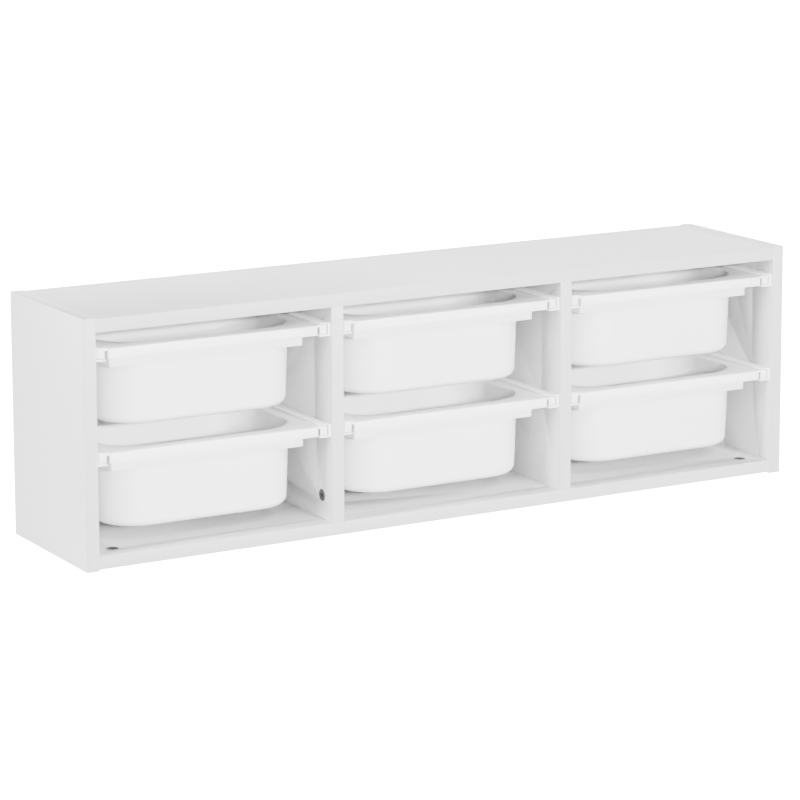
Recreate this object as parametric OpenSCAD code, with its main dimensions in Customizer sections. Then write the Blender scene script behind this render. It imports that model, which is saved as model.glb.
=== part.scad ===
// Wall shelf with three bays and six hanging tubs, in millimetres.
// The origin is at the middle of the base: X to the right, Y towards the wall, Z up.

/* [Carcass] */
// Overall width across the side panels
body_w = 990; // [840:10:1290]
// Overall depth from the front edges to the wall
body_d = 210; // [180:5:320]
// Overall height of the side panels
body_h = 300; // [270:5:400]
// Thickness of the board panels
panel_t = 16; // [15:0.5:19]
// Height of the bottom panel above the feet of the side panels
base_lift = 2; // [0:0.5:6]
// Drop of the top panel below the tops of the side panels
top_drop = 1; // [0:0.5:4]

/* [Back panel] */
// Thickness of the thin back panel
back_t = 3; // [2.5:0.5:5]
// Distance of the back panel in front of the wall
back_recess = 2.5; // [1:0.5:6]
// Depth of the grooves that hold the back panel
groove_depth = 6; // [4:0.5:8]
// Gap round the back panel inside its grooves
groove_play = 0.2; // [0.1:0.1:0.4]
// Gap between a partition and the back panel
partition_gap = 0.2; // [0.1:0.1:0.5]

/* [Tub places] */
// Distance of the tubs behind the front edges
tub_setback = 3; // [1:0.5:8]
// Gap between a tub and the back panel
tub_back_gap = 1.5; // [1:0.5:6]
// Finger gap above the upper tubs
top_gap = 21; // [12:1:40]
// Finger gap above the lower tubs
row_gap = 24; // [12:1:40]
// Gap between the lower tubs and the bottom panel
floor_gap = 20; // [5:1:40]

/* [Tubs] */
// Wall and floor thickness
wall_t = 2; // [1.8:0.1:3]
// Thickness of the flat rim
rim_t = 2.5; // [2:0.1:3]
// Rounding of the rim's inner edge
rim_edge_r = 2.5; // [1:0.1:3]
// Height of the grip apron at the front and back
apron_h = 12; // [8:0.5:16]
// Thickness of the grip apron
apron_t = 2.2; // [1.5:0.1:3]
// Length of the short returns at the apron's ends
apron_return = 7; // [4:0.5:12]
// Rounding of the apron's ends and upper edge
apron_r = 1.8; // [0.8:0.1:2]
// Distance from the apron to the long wall of the tub
grip_depth = 19; // [14:1:28]
// Distance from the flange's edge to the end wall of the tub
end_inset = 23; // [19:1:32]
// Corner radius of the tub's wall, seen from above
corner_r = 54; // [30:1:62]
// Height of the square-cornered skirt below the rim
skirt_h = 26; // [16:1:34]
// Thickness of the skirt, which merges into the thicker wall
skirt_t = 1.6; // [1.2:0.1:1.7]
// Rounding of the skirt's corners
skirt_r = 2.5; // [2:0.1:4]
// Slope of the wall below the skirt, in degrees
draft = 2; // [0.5:0.5:5]
// Rounding between wall and floor
base_r = 10; // [6:1:22]

/* [Runners] */
// Width of a runner, measured from its panel
runner_w = 14; // [12:0.5:16]
// Height of a runner
runner_h = 16; // [13:0.5:19]
// Thickness of the runner's web against the panel
runner_web = 2.5; // [2.5:0.1:3]
// Thickness of the runner's upper lip
upper_lip_t = 1.5; // [1:0.1:2.5]
// Thickness of the runner's lower lip
lower_lip_t = 2.5; // [2:0.1:3.5]
// Distance of the runners behind the front edges
runner_setback = 4; // [2:0.5:10]
// Gap between the runner's back end and the back panel
runner_back_gap = 0.5; // [0.2:0.1:2]
// Thickness of the stop at the runner's back end
stop_t = 2; // [1.5:0.1:3]
// Length of the flared mouth at the runner's front end
mouth_l = 8; // [4:1:14]
// Opening of the flared mouth on each side
mouth_flare = 0.7; // [0.2:0.1:0.9]

/* [Running clearances] */
// Gap between a flange's edge and the runner's web
flange_play = 1.8; // [0.5:0.1:2.5]
// Gap between a flange and the upper lip
flange_lift = 0.4; // [0.3:0.1:0.8]
// Gap between a flange's hanging edge and the lower lip
run_gap = 0.3; // [0.3:0.1:0.6]
// Gap between the apron's end and the runner
apron_gap = 2.8; // [1:0.1:4]
// Distance of a flange's ends behind the apron's face
flange_setback = 2; // [2:0.1:5]
// Thickness of the flange's hanging edge and of its end walls
flange_edge_t = 2; // [1.5:0.1:3]
// Distance of a flange's end wall inside the runner's open side
end_wall_inset = 0.6; // [0.4:0.1:1.5]

/* [Cam fittings] */
// Diameter of a cam lock
cam_d = 15; // [12:0.5:15]
// Depth of a cam lock in its panel
cam_depth = 12.5; // [12:0.5:13.5]
// Distance from the joint to the cam's axis
cam_reach = 29; // [24:1:34]
// Distance from the front edge to the front cams
cam_front = 27; // [20:1:50]
// Distance from the rear edge to the rear cams
cam_rear = 37; // [30:1:60]
// Diameter of the bolt's thread
bolt_d = 5; // [4:0.5:6]
// Diameter of the bolt's head and collar
bolt_head_d = 7; // [6:0.5:7]
// Length of the bolt's thread
thread_l = 10.5; // [8:0.5:12]
// Diameter of the clearance bore for a bolt
bolt_bore_d = 8; // [7.5:0.1:9]
// Gap round a fitting in its bore
fitting_play = 0.1; // [0.05:0.05:0.2]

/* [Dowels] */
// Diameter of a dowel
dowel_d = 8; // [6:0.5:8]
// Length of a dowel in the panel's end
dowel_end_l = 19; // [12:1:24]
// Length of a dowel in the panel's face
dowel_face_l = 11; // [8:0.5:12]
// Chamfer at a dowel's ends
dowel_chamfer = 1; // [0.5:0.1:1.5]
// Distance of a partition's upper dowels from its front and rear edges
dowel_inset = 45; // [30:1:60]

/* [Runner screws] */
// Diameter of a runner screw's shank
screw_d = 3.2; // [2.5:0.1:3.5]
// Diameter of a runner screw's countersunk head
screw_head_d = 6.6; // [5.5:0.1:7]
// Height of a runner screw's countersunk head
screw_head_h = 1.9; // [1.2:0.1:2.2]
// Length of a runner screw in its panel
screw_grip = 6.5; // [4:0.5:7]
// Distance from the runner's ends to its screws
screw_inset = 40; // [15:1:60]

/* [Wall brackets] */
// Distance from a side panel to the middle of its bracket
bracket_inset = 70; // [40:5:110]
// Width of a bracket
bracket_w = 40; // [32:1:60]
// Length of the leg under the top panel
bracket_leg = 28; // [20:1:40]
// Length of the leg along the back panel
bracket_drop = 18; // [14:0.5:20]
// Thickness of the bracket's sheet
bracket_t = 1.5; // [1:0.1:2]
// Corner rounding of the bracket's legs
bracket_r = 4; // [2:0.5:6]
// Diameter of the hole for the wall screw
wall_hole_d = 5.5; // [4:0.1:6.5]
// Height of the wall hole below the top panel
wall_hole_drop = 10; // [8:0.5:11]
// Diameter of the hole behind it in the back panel
back_hole_d = 9; // [8:0.5:12]
// Spacing of the two bracket screws
bracket_screw_pitch = 22; // [14:1:24]
// Distance of the bracket screws from the bracket's free edge
bracket_screw_edge = 9; // [6:0.5:11]
// Diameter of a bracket screw's shank
bracket_screw_d = 3.5; // [3:0.1:4]
// Diameter of a bracket screw's round head
bracket_head_d = 7; // [6:0.1:7.5]
// Height of a bracket screw's round head
bracket_head_h = 2.2; // [1.5:0.1:2.5]
// Length of a bracket screw in the top panel
bracket_screw_grip = 10; // [8:0.5:11]

/* [Hidden] */

// Columns of bays and rows of tubs, by their place from the middle
LEFT = -1;
MIDDLE = 0;
RIGHT = 1;
LOWER = 0;
UPPER = 1;
// Overlap that joins two shapes of one solid, or lets a cut run past a face
over = 1;
// Segments of a small rounding, of the rounding above the floor, and of a large one
small_arc = 5;
base_arc = 7;
large_arc = 12;
// Width, bar and depth of the cross recesses
cam_recess = [7.5, 1.4, 2];
screw_recess = [3.6, 0.8, 1.1];
bracket_recess = [3.5, 0.9, 1.2];
// Play of a hole that a bolt or screw passes freely
loose_play = 4 * fitting_play;
$fn = 48;

// Carcass faces
front_y = -body_d / 2;
back_y = body_d / 2;
inner_w = body_w - 2 * panel_t;
floor_z = base_lift + panel_t;
ceiling_z = body_h - top_drop - panel_t;
bay_w = (inner_w - 2 * panel_t) / 3;
bay_pitch = bay_w + panel_t;
back_face_y = back_y - back_recess - back_t;

// Tub sizes and places
tub_w = bay_w - 2 * (runner_web + flange_play);
tub_d = back_face_y - tub_back_gap - (front_y + tub_setback);
tub_h = (ceiling_z - floor_z - top_gap - row_gap - floor_gap) / 2;
tub_y = front_y + tub_setback + tub_d / 2;
upper_rim_z = ceiling_z - top_gap;
lower_rim_z = upper_rim_z - tub_h - row_gap;
apron_w = bay_w - 2 * (runner_w + apron_gap);
wall_half_w = tub_w / 2 - end_inset;
wall_half_d = tub_d / 2 - grip_depth;

// Runner levels, measured from the top of the tub's rim
runner_top = flange_lift + upper_lip_t;
runner_bottom = runner_top - runner_h;
slot_floor = runner_bottom + lower_lip_t;
runner_front_y = front_y + runner_setback;
runner_back_y = back_face_y - runner_back_gap;
screw_rows = [runner_front_y + screw_inset, runner_back_y - screw_inset];

// Places of cams, dowels and brackets
cam_rows = [front_y + cam_front, back_y - cam_rear];
middle_y = (cam_rows[0] + cam_rows[1]) / 2;
top_dowel_rows = [front_y + dowel_inset, back_face_y - dowel_inset];
bracket_x = inner_w / 2 - bracket_inset;

function column_x(column) = column * bay_pitch;
function rim_z(row) = row == UPPER ? upper_rim_z : lower_rim_z;
function deck_z(level) = level == UPPER ? ceiling_z + panel_t / 2 : floor_z - panel_t / 2;

// Points of an arc about a centre
function arc(centre, r, from, to, steps) =
    [for (i = [0:steps]) let (a = from + (to - from) * i / steps) centre + r * [cos(a), sin(a)]];

// Outline of a rectangle with rounded corners, centred on the origin
function rounded_outline(w, d, r, steps) = concat(
    arc([w / 2 - r, d / 2 - r], r, 0, 90, steps),
    arc([r - w / 2, d / 2 - r], r, 90, 180, steps),
    arc([r - w / 2, r - d / 2], r, 180, 270, steps),
    arc([w / 2 - r, r - d / 2], r, 270, 360, steps));

function reversed(points) = [for (i = [len(points) - 1:-1:0]) points[i]];

// A box between two opposite corners
module block(low, high) {
    translate(low) cube(high - low);
}

// Section through the tub's wall, from the underside of the floor up the outside,
// over the rim and down the inside. X counts inwards from the wall's outer face.
base_centre = [base_r / cos(draft) + (tub_h - base_r - skirt_h) * tan(draft), base_r - tub_h];
collar_w = 3;
function base_curve(r, from, to) = [for (p = arc([0, 0], r, from, to, base_arc))
    [base_centre[0] - p[0], base_centre[1] + p[1]]];
wall_section = concat(
    base_curve(base_r, -90, -draft),
    [[0, -skirt_h], [0, -rim_t], [-collar_w, -rim_t], [-collar_w, 0]],
    reversed(arc([wall_t - rim_edge_r, -rim_edge_r], rim_edge_r, 0, 90, small_arc)),
    [[wall_t, -skirt_h - wall_t * tan(draft / 2)]],
    base_curve(base_r - wall_t, -draft, -90));

// Both walls and the floor between them, drawn across a span
module trough_section(half_span) {
    near = [for (p = wall_section) [half_span - p[0], p[1]]];
    far = [for (p = reversed(wall_section)) [p[0] - half_span, p[1]]];
    polygon(concat(near, far));
}

// A quarter turn of the wall and floor about the corner's centre
module trough_corner() {
    floor_end = [[0, wall_t - tub_h], [0, -tub_h]];
    rotate_extrude(angle = 90, $fn = 96)
        polygon(concat([for (p = wall_section) [corner_r - p[0], p[1]]], floor_end));
}

module tub_trough() {
    straight_w = 2 * (wall_half_w - corner_r);
    straight_d = 2 * (wall_half_d - corner_r);
    rotate([90, 0, 90]) linear_extrude(straight_w, center = true) trough_section(wall_half_d);
    rotate([90, 0, 0]) linear_extrude(straight_d, center = true) trough_section(wall_half_w);
    for (turn = [0, 180]) {
        rotate([0, 0, turn]) {
            translate([straight_w / 2, straight_d / 2, 0]) trough_corner();
            translate([-straight_w / 2, straight_d / 2, 0]) rotate([0, 0, 90]) trough_corner();
        }
    }
}

// The flat rim reaches from apron to apron, and further out along the flanges
module tub_rim() {
    opening_grow = collar_w - over;
    flange_d = tub_d - 2 * flange_setback;
    translate([0, 0, -rim_t]) linear_extrude(rim_t) difference() {
        union() {
            square([tub_w, flange_d], center = true);
            square([apron_w - 2 * apron_r, tub_d - 2 * apron_r], center = true);
        }
        polygon(rounded_outline(2 * (wall_half_w + opening_grow), 2 * (wall_half_d + opening_grow),
            corner_r + opening_grow, large_arc));
    }
    edge_low = slot_floor + run_gap;
    end_wall_x = bay_w / 2 - runner_w + end_wall_inset;
    for (side = [LEFT, RIGHT]) mirror([side == LEFT ? 1 : 0, 0, 0]) {
        block([tub_w / 2 - flange_edge_t, -flange_d / 2, edge_low],
            [tub_w / 2, flange_d / 2, -rim_t / 2]);
        // End walls between the flange and its hanging edge
        for (end = [0, 1]) mirror([0, end, 0])
            block([end_wall_x, -flange_d / 2, edge_low],
                [tub_w / 2, flange_edge_t - flange_d / 2, -rim_t / 2]);
    }
}

// The grip apron hangs from the rim and turns in at both ends
module tub_apron() {
    half_w = apron_w / 2;
    edge_y = -tub_d / 2;
    outer = concat(
        [[-half_w, edge_y + apron_return]],
        arc([apron_r - half_w, edge_y + apron_r], apron_r, 180, 270, small_arc),
        arc([half_w - apron_r, edge_y + apron_r], apron_r, 270, 360, small_arc),
        [[half_w, edge_y + apron_return]]);
    inner = [
        [half_w - apron_t, edge_y + apron_return], [half_w - apron_t, edge_y + apron_t],
        [apron_t - half_w, edge_y + apron_t], [apron_t - half_w, edge_y + apron_return]];
    translate([0, 0, -apron_h]) linear_extrude(apron_h - apron_r) polygon(concat(outer, inner));
    // Rounded upper edge
    rim_y = edge_y + flange_setback + over;
    crown = concat(
        [[edge_y + apron_t, -apron_r], [edge_y, -apron_r]],
        reversed(arc([edge_y + apron_r, -apron_r], apron_r, 90, 180, small_arc)),
        [[rim_y, 0], [rim_y, -rim_t], [edge_y + apron_t, -rim_t]]);
    rotate([90, 0, 90]) linear_extrude(apron_w - 2 * apron_r, center = true) polygon(crown);
}

module tub_skirt() {
    rim_lap = 0.5;
    skirt_top = rim_lap - rim_t;
    translate([0, 0, -skirt_h]) linear_extrude(skirt_h + skirt_top) difference() {
        polygon(rounded_outline(2 * wall_half_w, 2 * wall_half_d, skirt_r, small_arc));
        polygon(rounded_outline(2 * (wall_half_w - skirt_t), 2 * (wall_half_d - skirt_t),
            skirt_r - skirt_t, small_arc));
    }
}

module tub(column, row) {
    color("white") translate([column_x(column), tub_y, rim_z(row)]) union() {
        tub_trough();
        tub_rim();
        tub_skirt();
        tub_apron();
        rotate([0, 0, 180]) tub_apron();
    }
}

// Places of the cam fittings. Each child is drawn with the joint at z = 0, the bolt along
// +Z into the panel that holds the cam, and the cam's face towards +X.
module side_joints(sides, level) {
    for (side = sides, y = cam_rows) translate([side * inner_w / 2, y, deck_z(level)])
        rotate([0, -side * 90, 0])
            rotate([0, 0, (level == UPPER) == (side == RIGHT) ? 180 : 0]) children();
}

module partition_joints(sides) {
    for (side = sides, y = cam_rows) translate([side * bay_pitch / 2, y, floor_z])
        rotate([0, 0, side == LEFT ? 180 : 0]) children();
}

// Places of the dowels, drawn with the joint at z = 0 and the panel's end towards +Z
module side_dowels(sides, level) {
    for (side = sides) translate([side * inner_w / 2, middle_y, deck_z(level)])
        rotate([0, -side * 90, 0]) children();
}

module lower_partition_dowels(sides) {
    for (side = sides) translate([side * bay_pitch / 2, middle_y, floor_z]) children();
}

module upper_partition_dowels(sides) {
    for (side = sides, y = top_dowel_rows) translate([side * bay_pitch / 2, y, ceiling_z])
        rotate([180, 0, 0]) children();
}

// Bore for a cam and its bolt in the panel that holds the cam
module cam_cut() {
    cam_floor = panel_t / 2 - cam_depth - fitting_play;
    translate([cam_floor, 0, cam_reach]) rotate([0, 90, 0])
        cylinder(d = cam_d + 2 * fitting_play, h = cam_depth + fitting_play + over);
    translate([0, 0, -over]) cylinder(d = bolt_bore_d, h = cam_reach + over);
}

// Pilot hole for a bolt in the panel's face
module bolt_cut() {
    depth = thread_l + fitting_play;
    translate([0, 0, -depth]) cylinder(d = bolt_d + 2 * fitting_play, h = depth + over);
}

module dowel_end_cut() {
    depth = dowel_end_l + fitting_play;
    translate([0, 0, -over]) cylinder(d = dowel_d + 2 * fitting_play, h = depth + over);
}

module dowel_face_cut() {
    depth = dowel_face_l + fitting_play;
    translate([0, 0, -depth]) cylinder(d = dowel_d + 2 * fitting_play, h = depth + over);
}

// A cross recess of the listed width, bar and depth, cut down from z = 0
module cross_recess(size) {
    for (turn = [0, 90]) rotate([0, 0, turn])
        block([-size[0] / 2, -size[1] / 2, -size[2]], [size[0] / 2, size[1] / 2, over]);
}

module cam_lock() {
    throat_l = cam_d / 2 + over;
    difference() {
        translate([panel_t / 2 - cam_depth, 0, cam_reach]) rotate([0, 90, 0])
            cylinder(d = cam_d, h = cam_depth);
        translate([0, 0, cam_reach - throat_l])
            cylinder(d = bolt_head_d + loose_play, h = throat_l + 2 * over);
        translate([panel_t / 2, 0, cam_reach]) rotate([0, 90, 0]) cross_recess(cam_recess);
    }
}

module cam_bolt() {
    collar_h = 2;
    head_h = 3;
    neck_l = 4;
    neck_d = 0.7 * bolt_d;
    head_base = cam_reach - head_h;
    translate([0, 0, -thread_l]) cylinder(d = bolt_d, h = thread_l);
    cylinder(d = bolt_head_d, h = collar_h);
    cylinder(d = bolt_d, h = head_base - neck_l);
    cylinder(d = neck_d, h = head_base + over);
    translate([0, 0, head_base]) cylinder(d = bolt_head_d, h = head_h);
}

module dowel() {
    body_l = dowel_end_l + dowel_face_l - 2 * dowel_chamfer;
    end_r = dowel_d / 2 - dowel_chamfer;
    translate([0, 0, -dowel_face_l]) cylinder(r1 = end_r, r2 = dowel_d / 2, h = dowel_chamfer);
    translate([0, 0, dowel_chamfer - dowel_face_l]) cylinder(d = dowel_d, h = body_l);
    translate([0, 0, dowel_end_l - dowel_chamfer])
        cylinder(r1 = dowel_d / 2, r2 = end_r, h = dowel_chamfer);
}

// Places of the runner screws, drawn with the panel's face at z = 0 and the panel towards -Z
module runner_screw_places(face_x, side, row) {
    z = rim_z(row) + (runner_top + runner_bottom) / 2;
    for (y = screw_rows) translate([face_x, y, z]) rotate([0, -side * 90, 0]) children();
}

module runner_screw_pilot() {
    depth = screw_grip + fitting_play;
    translate([0, 0, -depth]) cylinder(d = screw_d + 2 * fitting_play, h = depth + over);
}

module runner_screw() {
    tip_l = 1.5;
    tip_r = 0.3;
    head_base = runner_web - screw_head_h;
    difference() {
        union() {
            translate([0, 0, -screw_grip]) cylinder(r1 = tip_r, r2 = screw_d / 2, h = tip_l);
            translate([0, 0, tip_l - screw_grip])
                cylinder(d = screw_d, h = screw_grip - tip_l + head_base);
            translate([0, 0, head_base]) cylinder(d1 = screw_d, d2 = screw_head_d, h = screw_head_h);
        }
        translate([0, 0, runner_web]) cross_recess(screw_recess);
    }
}

// Pilot holes for every runner on one face of a panel
module runner_pilots(face_x, side) {
    for (row = [LOWER, UPPER]) runner_screw_places(face_x, side, row) runner_screw_pilot();
}

// Places of the bracket screws, drawn with the top panel's underside at z = 0
module bracket_screw_places(side) {
    y = back_face_y - bracket_leg + bracket_screw_edge;
    for (x = [-bracket_screw_pitch / 2, bracket_screw_pitch / 2])
        translate([side * bracket_x + x, y, ceiling_z]) children();
}

module side_panel(side) {
    inner_x = side * inner_w / 2;
    outer_x = side * body_w / 2;
    groove_x = side * (inner_w / 2 + groove_depth);
    open_x = side * (inner_w / 2 - over);
    color("whitesmoke") difference() {
        block([min(inner_x, outer_x), front_y, 0], [max(inner_x, outer_x), back_y, body_h]);
        block([min(groove_x, open_x), back_face_y - groove_play, floor_z - groove_depth],
            [max(groove_x, open_x), back_face_y + back_t + groove_play, ceiling_z + groove_depth]);
        for (level = [LOWER, UPPER]) {
            side_joints([side], level) bolt_cut();
            side_dowels([side], level) dowel_face_cut();
        }
        runner_pilots(inner_x, side);
    }
}

// The top and bottom panels lie between the sides, grooved for the back panel
module deck_blank(low_z, groove_low, groove_high) {
    difference() {
        block([-inner_w / 2, front_y, low_z], [inner_w / 2, back_y, low_z + panel_t]);
        block([-inner_w / 2 - over, back_face_y - groove_play, groove_low],
            [inner_w / 2 + over, back_face_y + back_t + groove_play, groove_high]);
    }
}

module top_panel() {
    screw_bore_h = bracket_screw_grip + fitting_play + over;
    color("white") difference() {
        deck_blank(ceiling_z, ceiling_z - over, ceiling_z + groove_depth);
        side_joints([LEFT, RIGHT], UPPER) cam_cut();
        side_dowels([LEFT, RIGHT], UPPER) dowel_end_cut();
        upper_partition_dowels([LEFT, RIGHT]) dowel_face_cut();
        for (side = [LEFT, RIGHT]) bracket_screw_places(side)
            translate([0, 0, -over])
                cylinder(d = bracket_screw_d + 2 * fitting_play, h = screw_bore_h);
    }
}

module bottom_panel() {
    color("white") difference() {
        deck_blank(base_lift, floor_z - groove_depth, floor_z + over);
        side_joints([LEFT, RIGHT], LOWER) cam_cut();
        side_dowels([LEFT, RIGHT], LOWER) dowel_end_cut();
        partition_joints([LEFT, RIGHT]) bolt_cut();
        lower_partition_dowels([LEFT, RIGHT]) dowel_face_cut();
    }
}

module partition(side) {
    middle_x = side * bay_pitch / 2;
    color("whitesmoke") difference() {
        block([middle_x - panel_t / 2, front_y, floor_z],
            [middle_x + panel_t / 2, back_face_y - partition_gap, ceiling_z]);
        partition_joints([side]) cam_cut();
        lower_partition_dowels([side]) dowel_end_cut();
        upper_partition_dowels([side]) dowel_end_cut();
        runner_pilots(middle_x - panel_t / 2, RIGHT);
        runner_pilots(middle_x + panel_t / 2, LEFT);
    }
}

module back_panel() {
    reach = groove_depth - groove_play;
    color("white") difference() {
        block([-inner_w / 2 - reach, back_face_y, floor_z - reach],
            [inner_w / 2 + reach, back_face_y + back_t, ceiling_z + reach]);
        for (side = [LEFT, RIGHT])
            translate([side * bracket_x, back_face_y - over, ceiling_z - wall_hole_drop])
                rotate([-90, 0, 0]) cylinder(d = back_hole_d, h = back_t + 2 * over);
    }
}

// A runner on one side of a bay, with its channel open towards the tub
module runner(column, row, side) {
    face_x = column_x(column) + side * bay_w / 2;
    length = runner_back_y - runner_front_y;
    slot_top = runner_top - upper_lip_t;
    hole_d = screw_d + 2 * fitting_play;
    head_hole_d = screw_head_d + 2 * fitting_play;
    mouth = [
        [-over, slot_floor - mouth_flare], [mouth_l, slot_floor],
        [mouth_l, slot_top], [-over, slot_top + mouth_flare]];
    color("snow") difference() {
        translate([face_x, runner_front_y, rim_z(row)])
            mirror([side == RIGHT ? 1 : 0, 0, 0]) difference() {
                block([0, 0, runner_bottom], [runner_w, length, runner_top]);
                block([runner_web, -over, slot_floor], [runner_w + over, length - stop_t, slot_top]);
                translate([runner_web, 0, 0]) rotate([90, 0, 90])
                    linear_extrude(runner_w) polygon(mouth);
            }
        runner_screw_places(face_x, side, row) {
            translate([0, 0, -over]) cylinder(d = hole_d, h = runner_web + 2 * over);
            translate([0, 0, runner_web - screw_head_h])
                cylinder(d1 = hole_d, d2 = head_hole_d, h = screw_head_h);
            translate([0, 0, runner_web]) cylinder(d = head_hole_d, h = over);
        }
    }
}

module cam_locks() {
    color("dimgray") {
        for (level = [LOWER, UPPER]) side_joints([LEFT, RIGHT], level) cam_lock();
        partition_joints([LEFT, RIGHT]) cam_lock();
    }
}

module cam_bolts() {
    color("silver") {
        for (level = [LOWER, UPPER]) side_joints([LEFT, RIGHT], level) cam_bolt();
        partition_joints([LEFT, RIGHT]) cam_bolt();
    }
}

module dowels() {
    color("burlywood") {
        for (level = [LOWER, UPPER]) side_dowels([LEFT, RIGHT], level) dowel();
        lower_partition_dowels([LEFT, RIGHT]) dowel();
        upper_partition_dowels([LEFT, RIGHT]) dowel();
    }
}

module runner_screws() {
    color("silver") for (column = [LEFT, MIDDLE, RIGHT], row = [LOWER, UPPER], side = [LEFT, RIGHT])
        runner_screw_places(column_x(column) + side * bay_w / 2, side, row) runner_screw();
}

// A folded bracket with one leg under the top panel and one against the back panel
module wall_bracket(side) {
    color("gainsboro") difference() {
        translate([side * bracket_x, back_face_y, ceiling_z]) union() {
            translate([0, 0, -bracket_t]) mirror([0, 1, 0])
                linear_extrude(bracket_t) bracket_leg_outline(bracket_leg);
            rotate([90, 0, 0]) mirror([0, 1, 0])
                linear_extrude(bracket_t) bracket_leg_outline(bracket_drop);
        }
        bracket_screw_places(side)
            translate([0, 0, -bracket_t - over])
                cylinder(d = bracket_screw_d + loose_play, h = bracket_t + 2 * over);
        translate([side * bracket_x, back_face_y + over, ceiling_z - wall_hole_drop]) rotate([90, 0, 0])
            cylinder(d = wall_hole_d, h = bracket_t + 2 * over);
    }
}

// A leg from the fold at y = 0 to its free edge, with that edge's corners rounded
module bracket_leg_outline(length) {
    polygon(concat(
        [[bracket_w / 2, 0]],
        arc([bracket_w / 2 - bracket_r, length - bracket_r], bracket_r, 0, 90, small_arc),
        arc([bracket_r - bracket_w / 2, length - bracket_r], bracket_r, 90, 180, small_arc),
        [[-bracket_w / 2, 0]]));
}

module bracket_screws() {
    head_z = -bracket_t - bracket_head_h;
    head_face_d = 0.7 * bracket_head_d;
    color("silver") for (side = [LEFT, RIGHT]) bracket_screw_places(side) difference() {
        union() {
            translate([0, 0, -bracket_t]) cylinder(d = bracket_screw_d, h = bracket_t + bracket_screw_grip);
            translate([0, 0, head_z]) cylinder(d1 = head_face_d, d2 = bracket_head_d, h = bracket_head_h);
        }
        translate([0, 0, head_z]) mirror([0, 0, 1]) cross_recess(bracket_recess);
    }
}

side_panel(LEFT);  // side_panel_left
side_panel(RIGHT);  // side_panel_right
top_panel();
bottom_panel();
partition(LEFT);  // partition_left
partition(RIGHT);  // partition_right
back_panel();
tub(LEFT, UPPER);  // tub_upper_left
tub(MIDDLE, UPPER);  // tub_upper_middle
tub(RIGHT, UPPER);  // tub_upper_right
tub(LEFT, LOWER);  // tub_lower_left
tub(MIDDLE, LOWER);  // tub_lower_middle
tub(RIGHT, LOWER);  // tub_lower_right
runner(LEFT, UPPER, LEFT);  // runner_upper_left_bay_l
runner(LEFT, UPPER, RIGHT);  // runner_upper_left_bay_r
runner(MIDDLE, UPPER, LEFT);  // runner_upper_middle_bay_l
runner(MIDDLE, UPPER, RIGHT);  // runner_upper_middle_bay_r
runner(RIGHT, UPPER, LEFT);  // runner_upper_right_bay_l
runner(RIGHT, UPPER, RIGHT);  // runner_upper_right_bay_r
runner(LEFT, LOWER, LEFT);  // runner_lower_left_bay_l
runner(LEFT, LOWER, RIGHT);  // runner_lower_left_bay_r
runner(MIDDLE, LOWER, LEFT);  // runner_lower_middle_bay_l
runner(MIDDLE, LOWER, RIGHT);  // runner_lower_middle_bay_r
runner(RIGHT, LOWER, LEFT);  // runner_lower_right_bay_l
runner(RIGHT, LOWER, RIGHT);  // runner_lower_right_bay_r
cam_locks();
cam_bolts();
dowels();
runner_screws();
wall_bracket(LEFT);  // wall_bracket_left
wall_bracket(RIGHT);  // wall_bracket_right
bracket_screws();
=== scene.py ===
# Wall shelf with six hanging tubs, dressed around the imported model, in metres
import math

import bmesh
import bpy
from mathutils import Euler, Matrix, Vector


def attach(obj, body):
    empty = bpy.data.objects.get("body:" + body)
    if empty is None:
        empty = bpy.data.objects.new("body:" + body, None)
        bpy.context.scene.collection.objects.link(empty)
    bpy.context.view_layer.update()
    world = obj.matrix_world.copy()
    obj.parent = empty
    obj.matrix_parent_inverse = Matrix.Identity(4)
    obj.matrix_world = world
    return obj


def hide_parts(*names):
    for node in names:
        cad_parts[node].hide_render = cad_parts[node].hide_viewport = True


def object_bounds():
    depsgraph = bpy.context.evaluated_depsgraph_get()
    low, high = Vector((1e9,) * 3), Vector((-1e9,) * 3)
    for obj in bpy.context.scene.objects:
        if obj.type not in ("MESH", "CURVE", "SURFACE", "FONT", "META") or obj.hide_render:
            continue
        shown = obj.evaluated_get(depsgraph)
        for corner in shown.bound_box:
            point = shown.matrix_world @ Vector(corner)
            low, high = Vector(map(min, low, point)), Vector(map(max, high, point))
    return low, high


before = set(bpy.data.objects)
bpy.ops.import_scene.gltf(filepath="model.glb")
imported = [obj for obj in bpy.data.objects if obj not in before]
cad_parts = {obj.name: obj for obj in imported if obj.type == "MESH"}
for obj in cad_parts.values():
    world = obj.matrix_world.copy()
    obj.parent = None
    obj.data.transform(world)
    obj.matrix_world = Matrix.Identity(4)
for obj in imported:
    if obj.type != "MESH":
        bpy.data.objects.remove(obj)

cad_low, cad_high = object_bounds()

# Names of the pieces
ROWS = ("upper", "lower")
COLUMNS = ("left", "middle", "right")
PANELS = (
    "side_panel_left", "side_panel_right", "top_panel", "bottom_panel",
    "partition_left", "partition_right",
)
TUBS = [f"tub_{row}_{column}" for row in ROWS for column in COLUMNS]
RUNNERS = [f"runner_{row}_{column}_bay_{side}" for row in ROWS for column in COLUMNS for side in "lr"]
BRACKETS = ("wall_bracket_left", "wall_bracket_right")
SCREWS = ("cam_bolts", "runner_screws", "bracket_screws")

# Eased edges of the pieces, and the angles between faces that count as an edge or as flat
PANEL_EDGE = 0.0006
TUB_EDGE = 0.00035
RUNNER_EDGE = 0.0003
BRACKET_EDGE = 0.0002
SHARP_ANGLE = math.radians(32)
FLAT_ANGLE = math.radians(0.4)
WELD_DISTANCE = 0.00001

# Edge band along the boards' fronts, and the seam behind it.
# The seam's half width is a share of the band's thickness.
BAND_THICKNESS = 0.0009
# The band's colour is darker than the board's: partly the edge band's own tone, partly painted shade on the
# front edges.
BAND_COLOUR_AND_PAINTED_SHADE = (0.54, 0.542, 0.545)
SEAM_COLOUR = (0.49, 0.49, 0.485)
SEAM_SHARE = 0.16

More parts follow.
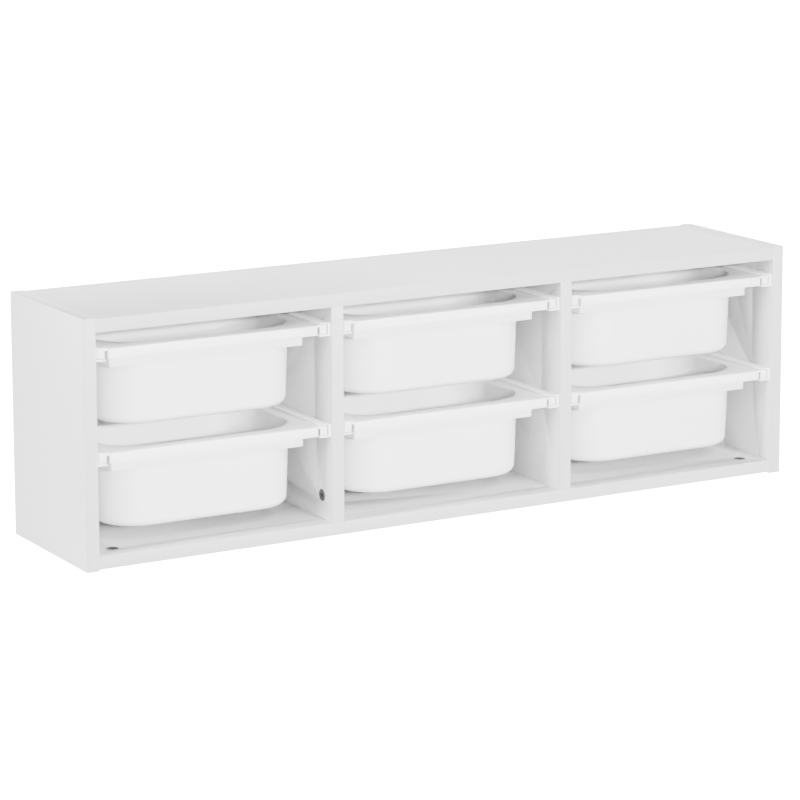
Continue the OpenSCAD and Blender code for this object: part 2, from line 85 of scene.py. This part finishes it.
# Camera and its place
CAMERA_PLACE = (-2.0209, -3.5071, 1.0176)
CAMERA_PITCH = 0.1671
CAMERA_YAW = 0.5194
CAMERA_ROLL = -0.0026
FOCAL_LENGTH = 148.41
SENSOR_WIDTH = 36.0
FRAME_SHIFT = -0.2
VIEW_DEPTH = 200.0

# Studio
FLOOR_WIDTH = 60.0
FLOOR_GAP = 0.0005
BACKDROP_GLOW = 16.0
ROOM_GLOW = 0.05
LIGHT_AIM = Vector((0.0, 0.0, 0.15))
FAR = 14.0
NEAR = 2.6

# Soft boxes: direction from the object, distance, width, height and strength.
# The key light and the wide light lie low in front, so that they reach in above the tubs.
SOFT_BOXES = {
    "key_light": ((0.0, -0.975, 0.22), NEAR, 0.3, 0.06, 0.84),
    "wide_light": ((-0.19, -0.965, 0.237), FAR, 4.0, 0.3, 1.42),
    "high_light": ((0.1, -0.75, 0.65), FAR, 3.0, 2.0, 0.53),
    "left_light": ((-0.985, -0.09, 0.12), FAR, 1.2, 3.0, 0.92),
    "left_back_light": ((-0.97, 0.2, 0.15), FAR, 1.2, 3.0, 0.8),
    "right_light": ((0.985, -0.03, 0.14), FAR, 1.5, 3.0, 1.3),
    "back_light": ((-0.3, 0.94, 0.14), FAR, 4.0, 2.0, 1.1),
    "sheen_light": ((0.45, 0.87, 0.2), FAR, 8.0, 3.0, 0.36),
    "top_light": ((0.0, 0.0, 1.0), FAR, 4.0, 4.0, 0.45),
}

front_y = cad_low.y


# Shader building blocks
def add(tree, kind, **settings):
    """A node with its properties, and its input values by socket name, set."""
    node = tree.nodes.new(kind)
    for name, value in settings.items():
        if name == "values":
            for label, number in value.items():
                node.inputs[label].default_value = number
        else:
            setattr(node, name, value)
    return node


def new_group(name, inputs, outputs):
    """An empty shader group with its sockets, and its input and output nodes."""
    group = bpy.data.node_groups.new(name, "ShaderNodeTree")
    for label, kind, value in inputs:
        socket = group.interface.new_socket(name=label, in_out="INPUT", socket_type=kind)
        if value is not None:
            socket.default_value = value
    for label, kind in outputs:
        group.interface.new_socket(name=label, in_out="OUTPUT", socket_type=kind)
    return group, add(group, "NodeGroupInput"), add(group, "NodeGroupOutput")


def make_stipple():
    """Fine stipple for a bump, and a broad cloudiness for the tone."""
    group, given, made = new_group(
        "fine_stipple",
        [("Vector", "NodeSocketVector", None), ("Scale", "NodeSocketFloat", 900.0),
         ("Cloud Scale", "NodeSocketFloat", 7.0)],
        [("Height", "NodeSocketFloat"), ("Cloud", "NodeSocketFloat")],
    )
    fine = add(group, "ShaderNodeTexNoise", values={"Detail": 3.0, "Roughness": 0.6})
    broad = add(group, "ShaderNodeTexNoise", values={"Detail": 2.0, "Roughness": 0.5})
    link = group.links.new
    link(given.outputs["Vector"], fine.inputs["Vector"])
    link(given.outputs["Scale"], fine.inputs["Scale"])
    link(given.outputs["Vector"], broad.inputs["Vector"])
    link(given.outputs["Cloud Scale"], broad.inputs["Scale"])
    link(fine.outputs["Fac"], made.inputs["Height"])
    link(broad.outputs["Fac"], made.inputs["Cloud"])
    return group


def make_front_band():
    """Masks of the edge band on the front edges, and of the thin seam behind it."""
    group, given, made = new_group(
        "front_band",
        [("Vector", "NodeSocketVector", None), ("Front", "NodeSocketFloat", front_y),
         ("Thickness", "NodeSocketFloat", BAND_THICKNESS)],
        [("Band", "NodeSocketFloat"), ("Seam", "NodeSocketFloat")],
    )
    place = add(group, "ShaderNodeSeparateXYZ")
    depth = add(group, "ShaderNodeMath", operation="SUBTRACT")
    share = add(group, "ShaderNodeMath", operation="DIVIDE")
    band = add(group, "ShaderNodeMapRange", interpolation_type="SMOOTHSTEP",
               values={"From Min": 0.9, "From Max": 1.1, "To Min": 1.0, "To Max": 0.0})
    seam = add(group, "ShaderNodeMath", operation="COMPARE")
    seam.inputs[1].default_value = 1.0
    seam.inputs[2].default_value = SEAM_SHARE
    link = group.links.new
    link(given.outputs["Vector"], place.inputs["Vector"])
    link(place.outputs["Y"], depth.inputs[0])
    link(given.outputs["Front"], depth.inputs[1])
    link(depth.outputs["Value"], share.inputs[0])
    link(given.outputs["Thickness"], share.inputs[1])
    link(share.outputs["Value"], band.inputs["Value"])
    link(share.outputs["Value"], seam.inputs[0])
    link(band.outputs["Result"], made.inputs["Band"])
    link(seam.outputs["Value"], made.inputs["Seam"])
    return group


STIPPLE = make_stipple()
FRONT_BAND = make_front_band()


def start_material(name, **principled):
    """A material with its Principled shader's constants set, and Object coordinates."""
    material = bpy.data.materials.new(name)
    material.use_nodes = True
    tree = material.node_tree
    shader = tree.nodes["Principled BSDF"]
    for label, value in principled.items():
        shader.inputs[label.replace("_", " ")].default_value = value
    place = add(tree, "ShaderNodeTexCoord").outputs["Object"]
    return material, tree, shader, place


def use_group(tree, group, place, **values):
    """The group placed in a material, reading the given coordinates."""
    node = add(tree, "ShaderNodeGroup", node_tree=group)
    tree.links.new(place, node.inputs["Vector"])
    for label, value in values.items():
        node.inputs[label.replace("_", " ")].default_value = value
    return node


def blend_colours(tree, mask, first, second):
    """A colour that runs from the first to the second with the mask."""
    mix = add(tree, "ShaderNodeMix", data_type="RGBA")
    tree.links.new(mask, mix.inputs["Factor"])
    for socket, colour in ((mix.inputs["A"], first), (mix.inputs["B"], second)):
        if isinstance(colour, tuple):
            socket.default_value = (*colour, 1.0)
        else:
            tree.links.new(colour, socket)
    return mix.outputs["Result"]


def spread(tree, value, low, high):
    """A value from 0 to 1 spread over the given range."""
    ranged = add(tree, "ShaderNodeMapRange", values={"To Min": low, "To Max": high})
    tree.links.new(value, ranged.inputs["Value"])
    return ranged.outputs["Result"]


def raise_surface(tree, shader, height, strength, distance):
    """A bump from the height, feeding the shader's normal."""
    bump = add(tree, "ShaderNodeBump", values={"Strength": strength, "Distance": distance})
    tree.links.new(height, bump.inputs["Height"])
    tree.links.new(bump.outputs["Normal"], shader.inputs["Normal"])


def foiled_board(name, light, shade):
    """White foil on board: satin, faintly stippled, with an edge band along the front whose darker tone is
    partly painted shade.
    """
    material, tree, shader, place = start_material(name, Specular_IOR_Level=0.45)
    stipple = use_group(tree, STIPPLE, place, Scale=1100.0, Cloud_Scale=5.0)
    band = use_group(tree, FRONT_BAND, place)
    face = blend_colours(tree, stipple.outputs["Cloud"], light, shade)
    # The edge band is coloured darker than the board: partly its own tone, partly painted shade on the front
    # edges.
    band_and_painted_shade = blend_colours(tree, band.outputs["Band"], face, BAND_COLOUR_AND_PAINTED_SHADE)
    seamed = blend_colours(tree, band.outputs["Seam"], band_and_painted_shade, SEAM_COLOUR)
    tree.links.new(seamed, shader.inputs["Base Color"])
    tree.links.new(spread(tree, stipple.outputs["Cloud"], 0.36, 0.46), shader.inputs["Roughness"])
    raise_surface(tree, shader, stipple.outputs["Height"], strength=0.12, distance=0.00025)
    return material


def painted_fibreboard():
    """The back panel's thin white paint, matt over fibres that still show."""
    material, tree, shader, place = start_material("painted_fibreboard", Specular_IOR_Level=0.3)
    stipple = use_group(tree, STIPPLE, place, Scale=420.0, Cloud_Scale=9.0)
    stretch = add(tree, "ShaderNodeMapping", values={"Scale": (90.0, 90.0, 700.0)})
    fibres = add(tree, "ShaderNodeTexNoise", values={"Scale": 1.0, "Detail": 4.0})
    height = add(tree, "ShaderNodeMath", operation="ADD")
    tree.links.new(place, stretch.inputs["Vector"])
    tree.links.new(stretch.outputs["Vector"], fibres.inputs["Vector"])
    tree.links.new(fibres.outputs["Fac"], height.inputs[0])
    tree.links.new(stipple.outputs["Height"], height.inputs[1])
    colour = blend_colours(tree, stipple.outputs["Cloud"], (0.84, 0.84, 0.835), (0.8, 0.8, 0.795))
    tree.links.new(colour, shader.inputs["Base Color"])
    tree.links.new(spread(tree, fibres.outputs["Fac"], 0.6, 0.75), shader.inputs["Roughness"])
    raise_surface(tree, shader, height.outputs["Value"], strength=0.2, distance=0.0003)
    return material


def moulded_plastic(name, light, shade, smooth, rough, milkiness):
    """White moulded polypropylene: finely spark-textured, with some light passing under its skin."""
    material, tree, shader, place = start_material(
        name, Specular_IOR_Level=0.5, Subsurface_Weight=milkiness, Subsurface_Scale=0.01,
        Subsurface_Radius=(1.0, 0.95, 0.9), IOR=1.49)
    stipple = use_group(tree, STIPPLE, place, Scale=1500.0, Cloud_Scale=11.0)
    colour = blend_colours(tree, stipple.outputs["Cloud"], light, shade)
    tree.links.new(colour, shader.inputs["Base Color"])
    tree.links.new(spread(tree, stipple.outputs["Cloud"], smooth, rough), shader.inputs["Roughness"])
    raise_surface(tree, shader, stipple.outputs["Height"], strength=0.1, distance=0.0002)
    return material


def cast_zinc():
    """The cam locks' dark, coarse casting skin."""
    material, tree, shader, place = start_material("cast_zinc", Metallic=0.7, Specular_IOR_Level=0.4)
    stipple = use_group(tree, STIPPLE, place, Scale=1300.0, Cloud_Scale=160.0)
    colour = blend_colours(tree, stipple.outputs["Cloud"], (0.1, 0.098, 0.095), (0.2, 0.195, 0.19))
    tree.links.new(colour, shader.inputs["Base Color"])
    tree.links.new(spread(tree, stipple.outputs["Height"], 0.42, 0.66), shader.inputs["Roughness"])
    raise_surface(tree, shader, stipple.outputs["Height"], strength=0.4, distance=0.0002)
    return material


def plated_steel():
    """Zinc plating on small screws and bolts, faintly mottled."""
    material, tree, shader, place = start_material("plated_steel", Metallic=1.0)
    stipple = use_group(tree, STIPPLE, place, Scale=2600.0, Cloud_Scale=220.0)
    colour = blend_colours(tree, stipple.outputs["Cloud"], (0.66, 0.66, 0.63), (0.5, 0.51, 0.52))
    tree.links.new(colour, shader.inputs["Base Color"])
    tree.links.new(spread(tree, stipple.outputs["Height"], 0.24, 0.44), shader.inputs["Roughness"])
    raise_surface(tree, shader, stipple.outputs["Height"], strength=0.15, distance=0.0001)
    return material


def powder_coat():
    """Light grey powder coat with its fine orange peel."""
    material, tree, shader, place = start_material("powder_coat", Metallic=0.0, Specular_IOR_Level=0.5)
    stipple = use_group(tree, STIPPLE, place, Scale=1900.0, Cloud_Scale=60.0)
    colour = blend_colours(tree, stipple.outputs["Cloud"], (0.78, 0.78, 0.78), (0.72, 0.72, 0.725))
    tree.links.new(colour, shader.inputs["Base Color"])
    tree.links.new(spread(tree, stipple.outputs["Height"], 0.3, 0.45), shader.inputs["Roughness"])
    raise_surface(tree, shader, stipple.outputs["Height"], strength=0.3, distance=0.0003)
    return material


def beech():
    """Raw beech for the dowels, with soft grain and a mottled tone."""
    material, tree, shader, place = start_material("beech", Specular_IOR_Level=0.25)
    stipple = use_group(tree, STIPPLE, place, Scale=1400.0, Cloud_Scale=90.0)
    stretch = add(tree, "ShaderNodeMapping", values={"Scale": (500.0, 500.0, 60.0)})
    grain = add(tree, "ShaderNodeTexNoise", values={"Scale": 1.0, "Detail": 5.0, "Distortion": 0.6})
    tree.links.new(place, stretch.inputs["Vector"])
    tree.links.new(stretch.outputs["Vector"], grain.inputs["Vector"])
    wood = blend_colours(tree, grain.outputs["Fac"], (0.66, 0.46, 0.3), (0.5, 0.32, 0.19))
    colour = blend_colours(tree, stipple.outputs["Cloud"], wood, (0.7, 0.52, 0.35))
    tree.links.new(colour, shader.inputs["Base Color"])
    tree.links.new(spread(tree, grain.outputs["Fac"], 0.55, 0.75), shader.inputs["Roughness"])
    raise_surface(tree, shader, grain.outputs["Fac"], strength=0.3, distance=0.0002)
    return material


FINISHES = {
    "board": foiled_board("foiled_board", (0.66, 0.662, 0.665), (0.645, 0.647, 0.65)),
    "back_board": painted_fibreboard(),
    "tub_plastic": moulded_plastic(
        "tub_plastic", (0.965, 0.967, 0.97), (0.955, 0.957, 0.96), smooth=0.36, rough=0.46, milkiness=0.45),
    "runner_plastic": moulded_plastic(
        "runner_plastic", (0.9, 0.902, 0.905), (0.88, 0.882, 0.885), smooth=0.32, rough=0.42, milkiness=0.06),
    "cam_zinc": cast_zinc(),
    "plated_steel": plated_steel(),
    "beech": beech(),
    "bracket_steel": powder_coat(),
}


# Pieces
def dress(piece, finish):
    """Gives a piece the finish as its only material."""
    piece.data.materials.clear()
    piece.data.materials.append(FINISHES[finish])


def body_of(node):
    """The body that a node rides on: a tub's own, or else the carcass."""
    return node if node in TUBS else "carcass"


def rounded_copy(node, finish, edge):
    """A merged copy of a node with its sharp edges eased, which stands for the node."""
    piece = bpy.data.objects.new(f"{node}_finished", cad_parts[node].data.copy())
    bpy.context.scene.collection.objects.link(piece)
    form = bmesh.new()
    form.from_mesh(piece.data)
    bmesh.ops.remove_doubles(form, verts=form.verts, dist=WELD_DISTANCE)
    bmesh.ops.dissolve_limit(form, angle_limit=FLAT_ANGLE, verts=form.verts, edges=form.edges)
    form.to_mesh(piece.data)
    form.free()
    piece.data.shade_smooth()
    ease = piece.modifiers.new("eased_edges", "BEVEL")
    ease.width = edge
    ease.segments = 2
    ease.limit_method = "ANGLE"
    ease.angle_limit = SHARP_ANGLE
    ease.use_clamp_overlap = True
    ease.harden_normals = True
    dress(piece, finish)
    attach(piece, body_of(node))
    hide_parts(node)
    return piece


for panel in PANELS:
    rounded_copy(panel, "board", PANEL_EDGE)
for tub in TUBS:
    rounded_copy(tub, "tub_plastic", TUB_EDGE)
for runner in RUNNERS:
    rounded_copy(runner, "runner_plastic", RUNNER_EDGE)
for bracket in BRACKETS:
    rounded_copy(bracket, "bracket_steel", BRACKET_EDGE)

dress(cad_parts["back_panel"], "back_board")
dress(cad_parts["cam_locks"], "cam_zinc")
dress(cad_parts["dowels"], "beech")
for screw in SCREWS:
    dress(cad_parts[screw], "plated_steel")


# Camera
def set_camera():
    """The camera that fits the photograph's view."""
    lens = bpy.data.cameras.new("camera")
    lens.lens = FOCAL_LENGTH
    lens.sensor_width = SENSOR_WIDTH
    lens.shift_y = FRAME_SHIFT
    lens.clip_end = VIEW_DEPTH
    camera = bpy.data.objects.new("camera", lens)
    bpy.context.scene.collection.objects.link(camera)
    turn = Euler((math.pi / 2 - CAMERA_PITCH, 0.0, -CAMERA_YAW)).to_matrix()
    turn = turn @ Matrix.Rotation(CAMERA_ROLL, 3, "Z")
    camera.matrix_world = Matrix.Translation(CAMERA_PLACE) @ turn.to_4x4()
    bpy.context.scene.camera = camera


# Studio
def lay_floor():
    """A plain pale floor that glows for the camera alone, so that it looks white all round."""
    bpy.ops.mesh.primitive_plane_add(size=FLOOR_WIDTH, location=(0.0, 0.0, cad_low.z - FLOOR_GAP))
    floor = bpy.context.object
    floor.name = "studio_floor"
    material, tree, shader, place = start_material(
        "studio_floor", Roughness=0.9, Specular_IOR_Level=0.1)
    stipple = use_group(tree, STIPPLE, place, Scale=30.0, Cloud_Scale=1.0)
    colour = blend_colours(tree, stipple.outputs["Cloud"], (0.6, 0.6, 0.6), (0.59, 0.59, 0.59))
    shader.inputs["Emission Color"].default_value = (1.0, 1.0, 1.0, 1.0)
    seen = add(tree, "ShaderNodeLightPath").outputs["Is Camera Ray"]
    tree.links.new(colour, shader.inputs["Base Color"])
    tree.links.new(spread(tree, seen, 0.0, BACKDROP_GLOW), shader.inputs["Emission Strength"])
    floor.data.materials.append(material)


def hang_light(name, direction, distance, width, height, strength):
    """A soft box in a direction from the object. Strength is the glow of a white face turned to it."""
    place = LIGHT_AIM + Vector(direction).normalized() * distance
    lamp = bpy.data.lights.new(name, "AREA")
    lamp.shape = "RECTANGLE"
    lamp.size = width
    lamp.size_y = height
    lamp.energy = strength * (math.pi * distance) ** 2
    light = bpy.data.objects.new(name, lamp)
    light.location = place
    light.rotation_euler = (LIGHT_AIM - place).to_track_quat("-Z", "Y").to_euler()
    bpy.context.scene.collection.objects.link(light)


def light_room():
    """A faint even room that looks white to the camera, with soft boxes all round."""
    world = bpy.data.worlds.new("pale_room")
    world.use_nodes = True
    tree = world.node_tree
    backdrop = tree.nodes["Background"]
    backdrop.inputs["Color"].default_value = (1.0, 1.0, 1.0, 1.0)
    seen = add(tree, "ShaderNodeLightPath").outputs["Is Camera Ray"]
    tree.links.new(spread(tree, seen, ROOM_GLOW, BACKDROP_GLOW), backdrop.inputs["Strength"])
    bpy.context.scene.world = world
    for name, box in SOFT_BOXES.items():
        hang_light(name, *box)


def set_view():
    """The view of a bright product picture, whose highlights roll off softly."""
    settings = bpy.context.scene.view_settings
    settings.view_transform = "AgX"
    settings.look = "AgX - Medium High Contrast"


set_camera()
lay_floor()
light_room()
set_view()
